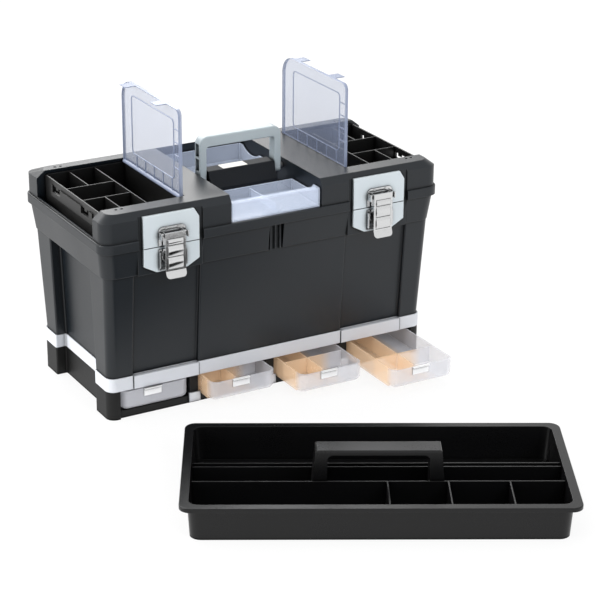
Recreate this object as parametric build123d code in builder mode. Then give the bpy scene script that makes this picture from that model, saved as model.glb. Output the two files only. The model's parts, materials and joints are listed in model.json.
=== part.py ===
from build123d import *
import os
from math import cos, radians, sin

os.makedirs("parts", exist_ok=True)

# All sizes are in millimetres. The origin is the centre of the base's underside, X runs along
# the long front, Y goes to the back and Z is up.

# Outline of the box
box_length = 555.0
box_depth = 248.0
corner_radius = 14.0
step_radius = 2.5
wall = 3.0
fit_gap = 0.5
cut_over = 1.0
end_recess_depth = 17.0
end_recess_width = 148.0
side_recess_depth = 6.0
side_recess_width = 109.0
corner_post = 41.5

# Base housing with its four drawer bays
base_height = 46.5
base_floor = 3.0
end_post = 18.5
bay_post = 14.0
bay_floor = 12.0
bay_back_wall = 3.0
bay_side_gap = 1.0
bay_side_wall = 2.5
bay_mouth_gap = 1.0
post_setback = 4.0
rail_depth = 6.0
runner_width = 4.0
runner_spacing = 70.0
cap_width = 19.0
cap_height = 15.0
cap_rise = 2.0
cap_chamfer = 1.0

# Drawers
drawer_front_gap = 3.5
drawer_side_step = 1.5
drawer_back_room = 30.0
drawer_gap = 0.3
drawer_top_gap = 3.2
drawer_wall = 2.0
drawer_front_depth = 17.0
drawer_corner = 12.0
drawer_rim_round = 0.8
drawer_foot_radius = 9.0
drawer_divider = 1.6
drawer_divider_drop = 3.0
drawer_divider_shift = -9.0
drawer_cross_wall = 62.0
drawer_pulls_out = (0.0, 36.0, 76.0, 131.0)
pull_width = 29.0
pull_height = 13.0
pull_thickness = 1.5
pull_lip = 4.5
pull_round = 1.5
pull_shift = -6.0
pull_top_gap = 1.0

# Trim band
trim_height = 21.5
trim_proud = 0.5
trim_pad = 1.0
trim_chamfer = 0.8
deck_thickness = 3.0

# Tub
tub_rise = 208.0
tub_ledge = 1.5
tub_flare_x = 3.5
tub_flare_y = 11.0
tub_band_height = 42.0
tub_band_proud = 2.5
tub_band_flare = 5.0
band_radius = 20.0
band_gap_width = 25.0
band_gap_depth = 3.0
band_rib_width = 2.5
tray_ledge_thickness = 5.0
tray_ledge_length = 27.5
tray_ledge_depth = 13.5

# Base screws
screw_pitch_y = 120.0
screw_radius = 2.0
screw_boss_radius = 5.0
screw_head_radius = 4.0
screw_head_height = 2.5
screw_head_round = 1.0
screw_length = 24.0
screw_gap = 0.05
screw_clearance = 0.3

# Lid
flange_overhang_x = 14.5
flange_overhang_y = 22.0
flange_radius = 20.0
flange_height = 15.0
flange_edge = 2.0
lid_inset = 3.0
lid_wall_height = 47.0
crown_height = 11.0
crown_end_setback = 14.0
crown_front_setback = 7.0
crown_back_setback = 27.0
lid_top_radius = 15.0
centre_well_half = 78.0
centre_deck = 61.0
centre_back_deck = 24.0
bin_front_deck = 34.0
bin_back_deck = 46.0
bin_floor_rise = 6.5
end_opening_rise = 17.0
centre_floor_rise = 14.5
strap_hole_radius = 2.3
strap_hole_pitch = 9.0
strap_hole_from_end = 39.0
strap_hole_from_well = 8.0

# Organiser bins
bin_gap = 0.5
bin_end_room = 14.0
bin_top_drop = 6.0
bin_wall = 2.0
bin_divider = 1.6
bin_divider_drop = 1.0
bin_long_width = 54.0
bin_outer_width = 39.0
bin_front_space = 71.0
bin_back_space = 76.0
bin_rail_height = 18.0
bin_rail_drop = 8.0
bin_rail_proud = 2.0
bin_rail_from_front = 28.0
bin_rail_from_back = 27.0
clip_from_front = 54.0
clip_from_back = 46.0
clip_notch_width = 28.0
clip_slot_drop = 1.0
clip_slot_height = 9.5
clip_hook_width = 9.0
clip_hook_height = 4.0

# Clear covers
cover_axis_inset = 3.5
cover_barrel = 3.2
cover_drop_gap = 0.8
cover_pin_radius = 1.5
cover_pin_gap = 0.1
cover_plate = 2.5
cover_end_gap = 4.5
cover_corner_front = 10.0
cover_corner_back = 30.0
cover_lip = 3.0
cover_rib = 1.2
cover_margin_front = 20.5
cover_margin_back = 30.5
cover_margin_low = 21.5
cover_margin_high = 19.0
cover_border_radius = 8.0
cover_low_rib_pitch = 30.5
cover_low_ribs = 5
cover_side_rib_pitch = 20.0
cover_clip_width = 20.0
cover_clip_drop = 20.0

# Console and carry handle
console_side_gap = 2.0
console_reach_front = 23.0
console_slope_reach = 9.0
console_slope_drop = 24.0
console_reach_back = 15.0
console_edge = 2.5
label_length = 43.0
label_depth = 19.0
label_shift = -8.0
label_thickness = 0.4
label_round = 1.5
handle_side_room = 7.0
handle_arm = 12.0
handle_depth = 18.0
handle_axis_y = -18.0
handle_axis_drop = 12.0
handle_rise = 56.0
handle_grip = 17.0
handle_outer_radius = 14.0
handle_inner_radius = 4.0
handle_pin_radius = 4.0
handle_pin_gap = 0.05
handle_pin_stub = 1.5
handle_pocket_depth = 6.0
handle_pocket_width = 11.0
handle_pocket_start = 12.0
handle_pocket_height = 20.0
handle_pocket_rib = 3.0
handle_edge = 2.0

# Clear boxes in the centre well
tray_gap = 3.0
clear_wall = 2.0
clear_edge = 2.0
clear_floor_gap = 0.3
front_box_setback = 2.0
front_box_console_gap = 14.0
front_box_drop = 24.0
front_box_hood_drop = 13.0
front_box_hood_depth = 18.0
front_box_hood_slope = 8.0
rear_box_front_gap = 1.0
rear_box_back_gap = 2.0
rear_box_back_drop = 14.5
rear_box_front_drop = 17.0
rear_box_dip_drop = 24.0
rear_box_dip_reach = 39.0
rear_box_dip_half = 28.0

# Latches: heights are measured from the seam between the tub and the lid
latch_bay_width = 106.0
latch_shift = 2.5
plate_width = 91.5
plate_thickness = 5.0
plate_gap = 0.4
plate_edge = 0.8
strike_drop = 39.0
upper_plate_drop = 8.0
plate_bottom_cut_x = 20.0
plate_bottom_cut_z = 11.0
plate_top_cut_x = 8.0
plate_top_cut_z = 13.0
chrome = 1.5
frame_width = 44.5
frame_seam_gap = 2.0
frame_rise = 30.0
frame_round = 7.0
ear_rise = 13.0
ear_reach = 12.0
lever_axis_reach = 7.5
lever_axis_rise = 21.0
lever_pin_radius = 1.5
lever_width = 33.0
lever_top_rise = 2.5
lever_sheet_y = 5.0
lever_drop = 36.0
lever_tip_drop = 47.0
lever_tip_out = 4.0
lever_tip_radius = 6.0
lever_flange_back = 3.5
lever_flange_drop = 8.0
lever_groove = 0.5
lever_groove_half = 0.6
lever_groove_margin = 3.0
lever_grooves = (14.0, 4.0, -14.0, -33.0)
bail_wire = 1.3
bail_half = 12.8
bail_axis_rise = 8.0
bail_drop = 24.0
bail_corner = 4.0
keeper_drop_low = 36.0
keeper_drop_high = 4.0
keeper_ear_margin = 4.0
keeper_lip_half = 11.0
keeper_lip_reach = 5.7
keeper_lip_drop_low = 26.0
keeper_lip_drop_high = 17.0
rivet_radius = 1.2
rivet_head_radius = 2.0
rivet_head_height = 0.8
bracket_rivet_half = 10.0
bracket_rivet_rise = 26.6
keeper_rivet_half = 18.0
keeper_rivet_drop = 12.0

# Lid hinge
hinge_from_end = 119.0
hinge_reach = 5.5
hinge_rise = 4.0
hinge_barrel = 5.0
hinge_pin_radius = 2.0
hinge_pin_gap = 0.05
hinge_pin_chamfer = 0.4
hinge_swing_gap = 0.1
lid_knuckle = 30.0
tub_knuckle = 24.0
knuckle_gap = 0.5
knuckle_foot_drop = 18.0

# Tote tray, standing on the floor in front of the box and turned
tray_x = -54.0
tray_y = -527.0
tray_turn = -28.7
tray_end_room = 6.0
tray_side_gap = 1.25
tray_height = 54.0
tray_rim_width = 10.5
tray_rim_height = 6.0
tray_rim_lip = 2.0
tray_rim_round = 1.5
tray_taper = 3.0
tray_wall = 2.5
tray_corner = 16.0
tray_divider = 2.0
tray_divider_height = 50.0
tray_walls_y = (-44.0, 0.0, 11.0)
tray_cross_x = (12.0, 96.0, 181.0)
grip_base_length = 190.0
grip_base_depth = 46.0
grip_top_length = 174.0
grip_top_depth = 32.0
grip_y = -22.0
grip_top = 93.0
grip_window_length = 141.0
grip_window_top = 86.0
grip_window_radius = 8.0
grip_edge = 3.0

# Places along the box, worked out from the sizes above
side_recess_outer = box_length / 2 - corner_post
side_recess_inner = side_recess_outer - side_recess_width
side_recess_x = (side_recess_outer + side_recess_inner) / 2
latch_x = side_recess_x - latch_shift
bay_width = (box_length - 2 * end_post - 3 * bay_post) / 4
bay_pitch = bay_width + bay_post
bay_centres = [bay_pitch * (i - 1.5) for i in range(4)]
post_centres = [bay_pitch * (i - 1) for i in range(3)]
drawer_front_width = bay_width - 2 * drawer_front_gap
drawer_width = drawer_front_width - 2 * drawer_side_step
bay_inner_width = drawer_width + 2 * bay_side_gap
flange_length = box_length + 2 * flange_overhang_x
lid_length = flange_length - 2 * lid_inset
lid_top_length = lid_length - 2 * crown_end_setback
bin_well_inner = centre_well_half + centre_deck
bin_outer = lid_length / 2 - bin_end_room
bin_long_wall = bin_well_inner + bin_long_width
bin_short_wall = bin_outer - bin_outer_width
cover_axis_x = bin_well_inner + cover_axis_inset
cover_reach = bin_outer + bin_rail_proud - cover_axis_x
handle_outer = centre_well_half - handle_side_room
console_half = handle_outer - handle_arm - console_side_gap
hinge_x = lid_length / 2 - hinge_from_end
tub_foot_length = box_length - 2 * tub_ledge
tub_head_length = box_length + 2 * tub_flare_x
band_low_length = tub_head_length + 2 * tub_band_proud
band_high_length = band_low_length + 2 * tub_band_flare
tray_length = box_length - 2 * tray_end_room

# Places from front to back
front_y = -box_depth / 2
post_face_y = front_y + post_setback
bay_mouth_back = front_y + drawer_front_depth + bay_mouth_gap
drawer_length = box_depth - bay_back_wall - drawer_back_room
flange_depth = box_depth + 2 * flange_overhang_y
lid_depth = flange_depth - 2 * lid_inset
lid_top_front = crown_front_setback - lid_depth / 2
lid_top_back = lid_depth / 2 - crown_back_setback
bin_well_front = bin_front_deck - lid_depth / 2
bin_well_back = lid_depth / 2 - bin_back_deck
centre_well_back = lid_depth / 2 - centre_back_deck
bin_cross_walls = (bin_well_front + bin_front_space, bin_well_back - bin_back_space)
bin_rail_front = bin_well_front + bin_rail_from_front
bin_rail_back = bin_well_back - bin_rail_from_back
clip_places = (bin_well_front + clip_from_front, bin_well_back - clip_from_back)
cover_front = bin_well_front + cover_end_gap
cover_back = bin_well_back - cover_end_gap
cover_border_front = cover_front + cover_margin_front
cover_border_back = cover_back - cover_margin_back
console_front = handle_axis_y - console_reach_front
console_slope_y = handle_axis_y - console_slope_reach
console_back = handle_axis_y + console_reach_back
label_y = (console_slope_y + console_back) / 2
front_box_front = front_box_setback - lid_depth / 2
front_box_back = console_front - front_box_console_gap
front_box_hood_back = front_box_front + front_box_hood_depth
rear_box_front = console_back + rear_box_front_gap
rear_box_back = centre_well_back - rear_box_back_gap
rear_box_dip_y = rear_box_back - rear_box_dip_reach
plate_face_y = -flange_depth / 2
latch_bay_y = plate_face_y + plate_thickness
lever_axis_y = plate_face_y - lever_axis_reach
keeper_lip_y = plate_face_y - keeper_lip_reach
hinge_y = flange_depth / 2 + hinge_reach
tub_foot_depth = box_depth - 2 * tub_ledge
tub_head_depth = box_depth + 2 * tub_flare_y
band_low_depth = tub_head_depth + 2 * tub_band_proud
band_high_depth = band_low_depth + 2 * tub_band_flare
band_inner_front = wall - tub_head_depth / 2
band_inner_back = band_low_depth / 2 - wall
tray_depth = band_inner_back - band_inner_front - 2 * tray_side_gap

# Heights
base_top = base_height
drawer_height = base_height - bay_floor - drawer_gap - drawer_top_gap
trim_top = base_top + trim_height
tub_floor_z = base_top + deck_thickness + fit_gap
tub_rim_z = trim_top + tub_rise
tub_band_z = tub_rim_z - tub_band_height
tray_ledge_z = tub_band_z + wall - tray_height + tray_rim_height
lid_flange_top = tub_rim_z + flange_height
lid_wall_top = tub_rim_z + lid_wall_height
lid_top = lid_wall_top + crown_height
bin_well_floor = tub_rim_z + bin_floor_rise
end_opening_z = tub_rim_z + end_opening_rise
centre_well_floor = tub_rim_z + centre_floor_rise
bin_top = lid_top - bin_top_drop
bin_rail_high = bin_top - bin_rail_drop
bin_rail_low = bin_rail_high - bin_rail_height
cover_axis_z = lid_top - cover_axis_inset
cover_top_z = cover_axis_z + cover_reach
cover_border_low = cover_axis_z + cover_margin_low
cover_border_high = cover_top_z - cover_margin_high
console_slope_z = lid_top - console_slope_drop
handle_axis_z = lid_top - handle_axis_drop
handle_top = lid_top + handle_rise
front_box_top = lid_top - front_box_drop
front_box_hood_top = lid_top - front_box_hood_drop
rear_box_back_z = lid_top - rear_box_back_drop
rear_box_front_z = lid_top - rear_box_front_drop
rear_box_dip_z = lid_top - rear_box_dip_drop
strike_bottom = tub_rim_z - strike_drop
upper_plate_top = lid_top - upper_plate_drop
frame_low = tub_rim_z + frame_seam_gap
frame_top = tub_rim_z + frame_rise
ear_low = tub_rim_z + ear_rise
lever_axis_z = tub_rim_z + lever_axis_rise
lever_low = tub_rim_z - lever_drop
lever_tip_z = tub_rim_z - lever_tip_drop
lever_flange_low = tub_rim_z - lever_flange_drop
bail_axis_z = tub_rim_z + bail_axis_rise
bail_low = tub_rim_z - bail_drop
keeper_low = tub_rim_z - keeper_drop_low
keeper_high = tub_rim_z - keeper_drop_high
keeper_lip_low = tub_rim_z - keeper_lip_drop_low
keeper_lip_high = tub_rim_z - keeper_lip_drop_high
hinge_z = tub_rim_z + hinge_rise
knuckle_foot_z = tub_rim_z - knuckle_foot_drop
bracket_rivet_places = [
    (side * bracket_rivet_half, tub_rim_z + bracket_rivet_rise) for side in (-1, 1)
]
keeper_rivet_places = [
    (side * keeper_rivet_half, tub_rim_z - keeper_rivet_drop) for side in (-1, 1)
]
tray_plane = Plane(
    origin=(tray_x, tray_y, 0),
    x_dir=(cos(radians(tray_turn)), sin(radians(tray_turn)), 0),
    z_dir=(0, 0, 1),
)
MIN_Z = (Align.CENTER, Align.CENTER, Align.MIN)
FRONT_Z = (Align.CENTER, Align.MIN, Align.MIN)
CORNER = (Align.MIN, Align.MIN, Align.MIN)


def block(low, high, mode=Mode.ADD):
    """A box between two corners, in the part that is being built."""
    with Locations(low):
        Box(high[0] - low[0], high[1] - low[1], high[2] - low[2], align=CORNER, mode=mode)


def rod(centre, radius, length, mode=Mode.ADD):
    """A cylinder along X about a centre."""
    with Locations(centre):
        Cylinder(radius, length, rotation=(0, 90, 0), mode=mode)


def stepped_outline(length, depth, inset, side_recesses=True):
    """Outline of the box: recessed ends, and shallow recesses behind and below the latches."""
    half_x = length / 2 - inset
    half_y = depth / 2 - inset
    radius = corner_radius - inset
    recess_width = side_recess_width + 2 * inset
    with BuildSketch() as outline:
        Rectangle(2 * half_x, 2 * half_y)
        with Locations((length / 2, 0), (-length / 2, 0)):
            Rectangle(2 * (end_recess_depth + inset), end_recess_width + 2 * inset, mode=Mode.SUBTRACT)
        if side_recesses:
            with GridLocations(2 * side_recess_x, depth, 2, 2):
                Rectangle(recess_width, 2 * (side_recess_depth + inset), mode=Mode.SUBTRACT)
        steps = outline.vertices().filter_by(
            lambda v: abs(v.X) < half_x - cut_over or abs(v.Y) < half_y - cut_over
        )
        fillet(steps, step_radius)
        corners = outline.vertices().filter_by(
            lambda v: abs(v.X) > half_x - fit_gap and abs(v.Y) > half_y - fit_gap
        )
        fillet(corners, radius)
    return outline.sketch


# Base housing: floor, outer walls, posts between the bays and two runners under each drawer
with BuildPart() as base_housing:
    with BuildSketch():
        add(stepped_outline(box_length, box_depth, 0, side_recesses=False))
    extrude(amount=base_height)
    bay_span = bay_pitch * 3 + bay_width
    block((-bay_span / 2, front_y - cut_over, 0), (bay_span / 2, post_face_y, base_height), Mode.SUBTRACT)
    bay_back_y = box_depth / 2 - bay_back_wall
    for x in bay_centres:
        block(
            (x - bay_inner_width / 2, post_face_y + rail_depth, base_floor),
            (x + bay_inner_width / 2, bay_back_y, base_height),
            Mode.SUBTRACT,
        )
        block(
            (x - bay_width / 2, front_y - cut_over, bay_floor),
            (x + bay_width / 2, bay_mouth_back, base_height),
            Mode.SUBTRACT,
        )
        for side in (-1, 1):
            runner_x = x + side * runner_spacing / 2
            block(
                (runner_x - runner_width / 2, post_face_y, base_floor),
                (runner_x + runner_width / 2, bay_back_y, bay_floor),
            )
    partition = bay_pitch - bay_inner_width - 2 * bay_side_wall
    for x in post_centres:
        block(
            (x - partition / 2, bay_mouth_back + wall, base_floor),
            (x + partition / 2, bay_back_y, base_height),
            Mode.SUBTRACT,
        )
        with Locations((x, -screw_pitch_y / 2, base_floor), (x, screw_pitch_y / 2, base_floor)):
            Cylinder(screw_boss_radius, base_height - base_floor, align=MIN_Z)
            Cylinder(screw_radius + screw_gap, base_height - base_floor, align=MIN_Z, mode=Mode.SUBTRACT)
base_housing.part.label = "base_housing"
export_step(base_housing.part, "parts/base_housing.step")

# Caps at the foot of the posts
with BuildPart() as post_caps:
    for x in post_centres:
        block(
            (x - cap_width / 2, front_y, cap_rise),
            (x + cap_width / 2, post_face_y, cap_rise + cap_height),
        )
    chamfer(post_caps.faces().group_by(Axis.Y)[0].edges(), cap_chamfer)
post_caps.part.label = "post_caps"
export_step(post_caps.part, "parts/post_caps.step")

# Trim band: a deck over the bays with a rim that takes the tub's foot
with BuildPart() as trim_band:
    with BuildSketch(Plane.XY.offset(base_top)):
        add(stepped_outline(box_length + 2 * trim_proud, box_depth + 2 * trim_proud, 0))
    extrude(amount=trim_height)
    chamfer(trim_band.edges().group_by(Axis.Z)[-1], trim_chamfer)
    with BuildSketch(Plane.XY.offset(base_top + deck_thickness)):
        add(stepped_outline(box_length, box_depth, wall))
    extrude(amount=trim_height - deck_thickness, mode=Mode.SUBTRACT)
    recess_face_y = front_y + side_recess_depth
    for side in (-1, 1):
        pad_x = side * side_recess_x
        pad_half = side_recess_width / 2
        block(
            (pad_x - pad_half, front_y - trim_proud - trim_pad, base_top),
            (pad_x + pad_half, recess_face_y, trim_top - trim_pad),
        )
    with Locations((0, 0, base_top)):
        with GridLocations(bay_pitch, screw_pitch_y, 3, 2):
            Cylinder(screw_radius + screw_clearance, deck_thickness, align=MIN_Z, mode=Mode.SUBTRACT)
trim_band.part.label = "trim_band"
export_step(trim_band.part, "parts/trim_band.step")

# Tub: foot inside the trim band, flared walls, reinforcing band and ledges for the tote tray
with BuildPart() as tub:
    foot_inset = wall + fit_gap
    with BuildSketch(Plane.XY.offset(tub_floor_z)):
        add(stepped_outline(box_length, box_depth, foot_inset))
    extrude(amount=trim_top - tub_floor_z)
    with BuildSketch(Plane.XY.offset(trim_top)):
        add(stepped_outline(tub_foot_length, tub_foot_depth, 0))
    with BuildSketch(Plane.XY.offset(tub_band_z)):
        add(stepped_outline(tub_head_length, tub_head_depth, 0))
    loft(ruled=True)
    with BuildSketch(Plane.XY.offset(tub_band_z)):
        RectangleRounded(band_low_length, band_low_depth, band_radius)
    with BuildSketch(Plane.XY.offset(tub_rim_z)):
        RectangleRounded(band_high_length, band_high_depth, band_radius)
    loft(ruled=True)
    for side in (-1, 1):
        bay_low_x = side * latch_x - latch_bay_width / 2
        bay_high_x = side * latch_x + latch_bay_width / 2
        block((bay_low_x, latch_bay_y, tub_band_z), (bay_high_x, front_y, tub_rim_z))
        block(
            (bay_low_x, latch_bay_y - plate_thickness, tub_band_z),
            (bay_high_x, latch_bay_y, tub_rim_z),
            Mode.SUBTRACT,
        )
    band_face_y = -band_high_depth / 2
    block(
        (-band_gap_width / 2, band_face_y, tub_band_z),
        (band_gap_width / 2, -band_low_depth / 2 + band_gap_depth, tub_rim_z),
        Mode.SUBTRACT,
    )
    for i in range(3):
        rib_x = (i - 1) * band_gap_width / 3
        block(
            (rib_x - band_rib_width / 2, -band_low_depth / 2, tub_band_z),
            (rib_x + band_rib_width / 2, -tub_head_depth / 2 + wall, tub_rim_z - wall),
        )
    # the hollow, in three steps
    with BuildSketch(Plane.XY.offset(tub_floor_z + wall)):
        add(stepped_outline(box_length, box_depth, foot_inset + wall))
    extrude(amount=trim_top - tub_floor_z - wall, mode=Mode.SUBTRACT)
    with BuildSketch(Plane.XY.offset(trim_top)):
        add(stepped_outline(tub_foot_length, tub_foot_depth, wall))
    with BuildSketch(Plane.XY.offset(tub_band_z + wall)):
        add(stepped_outline(tub_head_length, tub_head_depth, wall))
    loft(ruled=True, mode=Mode.SUBTRACT)
    with BuildSketch(Plane.XY.offset(tub_band_z + wall)):
        with Locations((0, (band_inner_front + band_inner_back) / 2)):
            RectangleRounded(
                band_low_length - 2 * wall,
                band_inner_back - band_inner_front,
                corner_radius,
            )
    extrude(amount=tub_rim_z - tub_band_z - wall, mode=Mode.SUBTRACT)
    # ledges at the four corners, for the tote tray's floor
    ledge_share = (tray_ledge_z - trim_top) / (tub_band_z - trim_top)
    with BuildSketch(Plane.XY.offset(tray_ledge_z - tray_ledge_thickness)):
        add(
            stepped_outline(
                tub_foot_length + (tub_head_length - tub_foot_length) * ledge_share,
                tub_foot_depth + (tub_head_depth - tub_foot_depth) * ledge_share,
                wall / 2,
            )
        )
        Rectangle(box_length - 2 * tray_ledge_length, 2 * box_depth, mode=Mode.SUBTRACT)
        Rectangle(2 * box_length, box_depth - 2 * tray_ledge_depth, mode=Mode.SUBTRACT)
    extrude(amount=tray_ledge_thickness)
    with Locations((0, 0, tub_floor_z)):
        with GridLocations(bay_pitch, screw_pitch_y, 3, 2):
            Cylinder(screw_radius + screw_clearance, wall, align=MIN_Z, mode=Mode.SUBTRACT)
    # hinge knuckles on the back, two to each hinge
    knuckle_x = lid_knuckle / 2 + knuckle_gap + tub_knuckle / 2
    for hinge in (-hinge_x, hinge_x):
        for side in (-1, 1):
            x = hinge + side * knuckle_x
            block(
                (x - tub_knuckle / 2, band_inner_back, knuckle_foot_z),
                (x + tub_knuckle / 2, hinge_y + hinge_barrel, tub_rim_z - cut_over),
            )
            block(
                (x - tub_knuckle / 2, hinge_y - hinge_barrel, tub_rim_z - cut_over),
                (x + tub_knuckle / 2, hinge_y + hinge_barrel, hinge_z),
            )
            rod((x, hinge_y, hinge_z), hinge_barrel, tub_knuckle)
            rod(
                (x, hinge_y, hinge_z),
                hinge_pin_radius + hinge_pin_gap,
                tub_knuckle + cut_over,
                Mode.SUBTRACT,
            )
tub.part.label = "tub"
export_step(tub.part, "parts/tub.step")

# Screws that hold the tub and the trim band down on the base housing
with BuildPart() as base_screws:
    with Locations((0, 0, tub_floor_z + wall)):
        with GridLocations(bay_pitch, screw_pitch_y, 3, 2):
            Cylinder(screw_head_radius, screw_head_height, align=MIN_Z)
    fillet(base_screws.edges().group_by(Axis.Z)[-1], screw_head_round)
    with Locations((0, 0, tub_floor_z + wall - screw_length)):
        with GridLocations(bay_pitch, screw_pitch_y, 3, 2):
            Cylinder(screw_radius, screw_length, align=MIN_Z)
base_screws.part.label = "base_screws"
export_step(base_screws.part, "parts/base_screws.step")

# The hollow under the lid's deck, round the wells' own walls
with BuildPart() as hollow:
    with BuildSketch(Plane.XY.offset(tub_rim_z)):
        RectangleRounded(lid_length - 2 * wall, lid_depth - 2 * wall, flange_radius - lid_inset - wall)
    extrude(amount=lid_wall_top - tub_rim_z - wall)
    with BuildSketch(Plane.XY.offset(lid_wall_top - wall)):
        RectangleRounded(lid_length - 2 * wall, lid_depth - 2 * wall, flange_radius - lid_inset - wall)
    with BuildSketch(Plane.XY.offset(lid_top - wall)):
        with Locations((0, (lid_top_front + lid_top_back) / 2)):
            RectangleRounded(
                lid_top_length - 2 * wall, lid_top_back - lid_top_front - 2 * wall, lid_top_radius
            )
    loft(ruled=True)
    for side in (-1, 1):
        well_x = side * (bin_well_inner - wall + lid_length / 2) / 2
        well_length = lid_length / 2 - bin_well_inner + wall
        with Locations((well_x, bin_well_front - wall, bin_well_floor - wall)):
            Box(
                well_length,
                bin_well_back - bin_well_front + 2 * wall,
                lid_top,
                align=FRONT_Z,
                mode=Mode.SUBTRACT,
            )
        with Locations((side * latch_x, latch_bay_y, tub_rim_z)):
            Box(latch_bay_width + 2 * wall, wall, lid_top, align=FRONT_Z, mode=Mode.SUBTRACT)
    block(
        (-centre_well_half - wall, -lid_depth, centre_well_floor - wall),
        (centre_well_half + wall, centre_well_back + wall, 2 * lid_top),
        Mode.SUBTRACT,
    )

# Lid shell: flange, walls and sloping crown over two bin wells and one centre well
with BuildPart() as lid_shell:
    with BuildSketch(Plane.XY.offset(tub_rim_z)):
        RectangleRounded(flange_length, flange_depth, flange_radius)
    extrude(amount=flange_height)
    fillet(lid_shell.edges().group_by(Axis.Z)[-1], flange_edge)
    with BuildSketch(Plane.XY.offset(lid_flange_top - flange_height / 2)):
        RectangleRounded(lid_length, lid_depth, flange_radius - lid_inset)
    extrude(amount=lid_wall_top - lid_flange_top + flange_height / 2)
    with BuildSketch(Plane.XY.offset(lid_wall_top)):
        RectangleRounded(lid_length, lid_depth, flange_radius - lid_inset)
    with BuildSketch(Plane.XY.offset(lid_top)):
        with Locations((0, (lid_top_front + lid_top_back) / 2)):
            RectangleRounded(lid_top_length, lid_top_back - lid_top_front, lid_top_radius)
    loft(ruled=True)
    crown_edges = lid_shell.edges().group_by(Axis.Z)[-1]
    fillet(crown_edges, flange_edge)

    add(hollow.part, mode=Mode.SUBTRACT)

    # the wells, the open ends and the flats for the latch plates
    for side in (-1, 1):
        well_x = side * (bin_well_inner + lid_length / 2 - wall) / 2
        well_length = lid_length / 2 - wall - bin_well_inner
        with Locations((well_x, bin_well_front, bin_well_floor)):
            Box(well_length, bin_well_back - bin_well_front, lid_top, align=FRONT_Z, mode=Mode.SUBTRACT)
        with Locations((side * flange_length / 2, bin_well_front, end_opening_z)):
            Box(
                2 * lid_inset + 4 * wall,
                bin_well_back - bin_well_front,
                lid_top,
                align=FRONT_Z,
                mode=Mode.SUBTRACT,
            )
        with Locations((side * latch_x, plate_face_y - cut_over, tub_rim_z)):
            Box(
                latch_bay_width,
                plate_thickness + cut_over,
                lid_top,
                align=FRONT_Z,
                mode=Mode.SUBTRACT,
            )
        # sockets for the cover's hinge pin
        with Locations((side * cover_axis_x, (bin_well_front + bin_well_back) / 2, cover_axis_z)):
            Cylinder(
                cover_pin_radius + hinge_pin_gap,
                bin_well_back - bin_well_front + 4 * wall,
                rotation=(90, 0, 0),
                mode=Mode.SUBTRACT,
            )
    block(
        (-centre_well_half, -lid_depth, centre_well_floor),
        (centre_well_half, centre_well_back, 2 * lid_top),
        Mode.SUBTRACT,
    )
    rod(
        (0, handle_axis_y, handle_axis_z),
        handle_pin_radius + handle_pin_gap,
        2 * (centre_well_half + 2 * wall),
        Mode.SUBTRACT,
    )
    # a pair of strap holes in each corner of the deck
    with BuildSketch(Plane.XY.offset(lid_top - 2 * wall)):
        strap_hole_x = lid_length / 2 - strap_hole_from_end
        for y in (bin_well_front - strap_hole_from_well, bin_well_back + strap_hole_from_well):
            for side in (-1, 1):
                with Locations((side * strap_hole_x, y)):
                    with GridLocations(strap_hole_pitch, 0, 2, 1):
                        Circle(strap_hole_radius)
    extrude(amount=2 * wall, mode=Mode.SUBTRACT)
    # hinge knuckles
    for x in (-hinge_x, hinge_x):
        block(
            (x - lid_knuckle / 2, lid_depth / 2 - wall, tub_rim_z),
            (x + lid_knuckle / 2, hinge_y, hinge_z + hinge_barrel),
        )
        rod((x, hinge_y, hinge_z), hinge_barrel, lid_knuckle)
        rod(
            (x, hinge_y, hinge_z),
            hinge_pin_radius + hinge_swing_gap,
            lid_knuckle + cut_over,
            Mode.SUBTRACT,
        )
lid_shell.part.label = "lid_shell"
export_step(lid_shell.part, "parts/lid_shell.step")

# Pins of the lid's two hinges
for name, x in (("hinge_pin_left", -hinge_x), ("hinge_pin_right", hinge_x)):
    with BuildPart() as hinge_pin:
        rod((x, hinge_y, hinge_z), hinge_pin_radius, lid_knuckle + 2 * knuckle_gap + 2 * tub_knuckle)
        chamfer(hinge_pin.edges(), hinge_pin_chamfer)
    hinge_pin.part.label = name
    export_step(hinge_pin.part, f"parts/{name}.step")


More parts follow.
